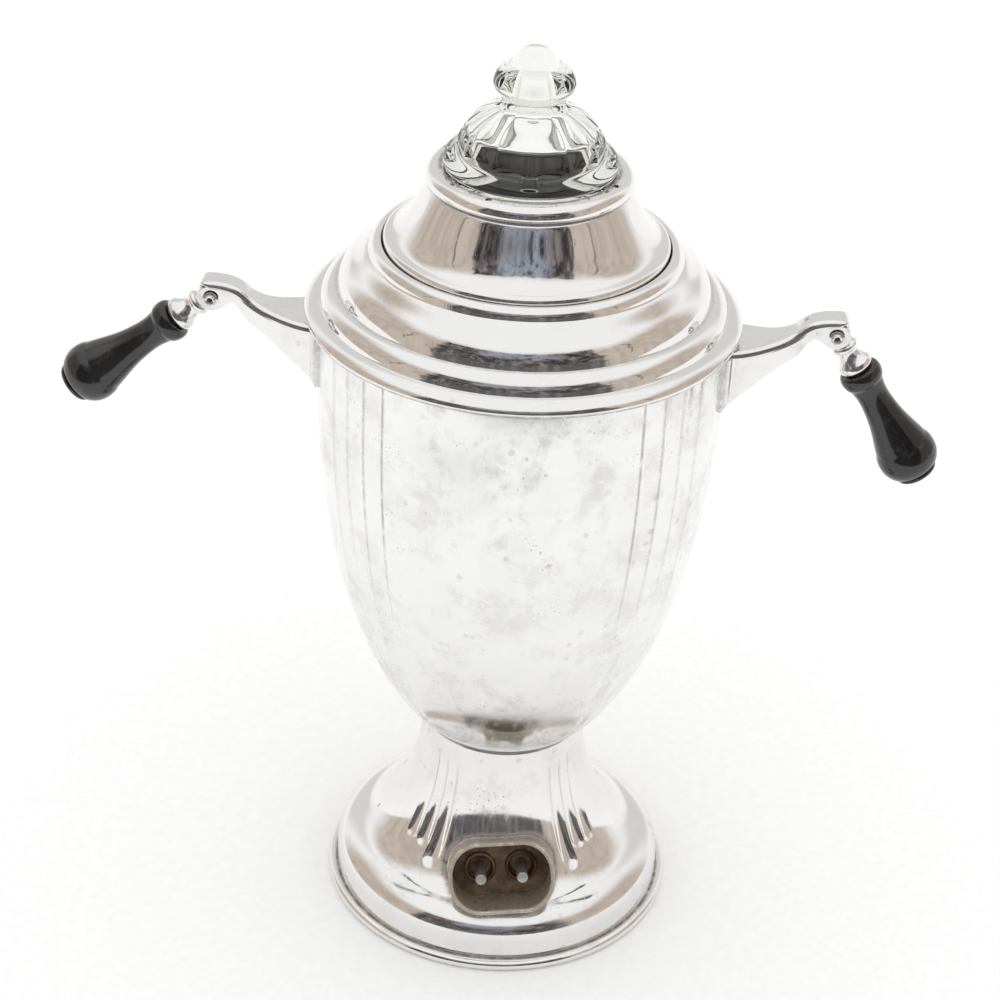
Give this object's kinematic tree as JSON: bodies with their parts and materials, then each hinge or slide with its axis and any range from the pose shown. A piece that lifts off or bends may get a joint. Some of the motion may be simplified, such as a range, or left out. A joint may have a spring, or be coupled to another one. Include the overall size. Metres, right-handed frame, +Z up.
{
  "type": "electric buffet server",
  "caption": "Chromed pedestal coffee urn with a stepped collar, lift-off lid with a glass top, swinging side handles, a two-pin heater inlet in its foot and a spigot.",
  "frame": {"origin": "on the urn's axis, in the plane of the foot's lower face", "axes": "+Z up along the axis, -Y towards the heater inlet, +Y towards the spigot, handles along -X and +X"},
  "size_m": [0.3515, 0.207, 0.384],
  "materials": {
    "bright_chrome": "mirror plated, fine scratches and faint haze",
    "dull_chrome": "plated, clouded and finely pitted",
    "tarnished_metal": "browned plating",
    "steel": "plain",
    "brass": "aged",
    "aluminium": "satin",
    "black_phenolic": "glossy, lightly scratched",
    "clear_glass": "clear, slightly green",
    "insulation": "fibre and porcelain",
    "wire_braid": "braided sleeve",
    "gasket_rubber": "matte"
  },
  "bodies": {
    "urn": {"foot_shell": "bright_chrome", "base_ring": "bright_chrome", "base_plate": "steel", "center_stud": "steel", "stud_nut": "brass", "inlet_shroud": "tarnished_metal", "inlet_insulator": "insulation", "inlet_bushings": "brass", "pin_washers": "insulation", "inlet_pins": "steel", "terminal_nuts": "brass", "lead_wires": "wire_braid", "safety_fuse": "steel", "heater_element": "insulation", "heater_band": "steel", "heater_well": "steel", "body_shell": "dull_chrome", "body_collar": "bright_chrome", "left_bracket": "dull_chrome", "left_bracket_rivets": "steel", "left_hinge_pin": "steel", "right_bracket": "dull_chrome", "right_bracket_rivets": "steel", "right_hinge_pin": "steel", "spigot_boss": "bright_chrome", "spigot_gasket": "gasket_rubber", "spigot_locknut": "brass", "spigot_shank": "bright_chrome", "spigot_body": "bright_chrome"},
    "left_handle": {"left_ferrule": "dull_chrome", "left_grip": "black_phenolic", "left_end_button": "black_phenolic", "left_tie_rod": "steel"},
    "right_handle": {"right_ferrule": "dull_chrome", "right_grip": "black_phenolic", "right_end_button": "black_phenolic", "right_tie_rod": "steel"},
    "lid": {"lid_shell": "bright_chrome", "lid_skirt": "steel", "lid_ring": "bright_chrome", "glass_knob": "clear_glass", "glass_retainer": "steel"},
    "percolator": {"pump_base": "aluminium", "pump_tube": "aluminium", "basket_stop": "brass", "coffee_basket": "aluminium", "basket_lid": "aluminium"},
    "valve": {"valve_plug": "brass", "valve_nut": "brass", "spigot_lever": "black_phenolic"}
  },
  "joints": [
    {"name": "left_handle_swing", "type": "hinge", "parent": "urn", "child": "left_handle", "pos_m": [-0.1223, 0, 0.2737], "axis": [0, 1, 0], "range_deg": [-52, 38]},
    {"name": "right_handle_swing", "type": "hinge", "parent": "urn", "child": "right_handle", "pos_m": [0.1223, 0, 0.2737], "axis": [0, -1, 0], "range_deg": [-32.7, 57.3]},
    {"name": "lid_lift", "type": "slide", "parent": "urn", "child": "lid", "axis": [0, 0, 1], "range_m": [0, 0.12]},
    {"name": "percolator_lift", "type": "slide", "parent": "urn", "child": "percolator", "axis": [0, 0, 1], "range_m": [0, 0.008]},
    {"name": "valve_turn", "type": "hinge", "parent": "urn", "child": "valve", "pos_m": [0, 0.096, 0.112], "axis": [0, 0, 1], "range_deg": [0, 90]}
  ]
}
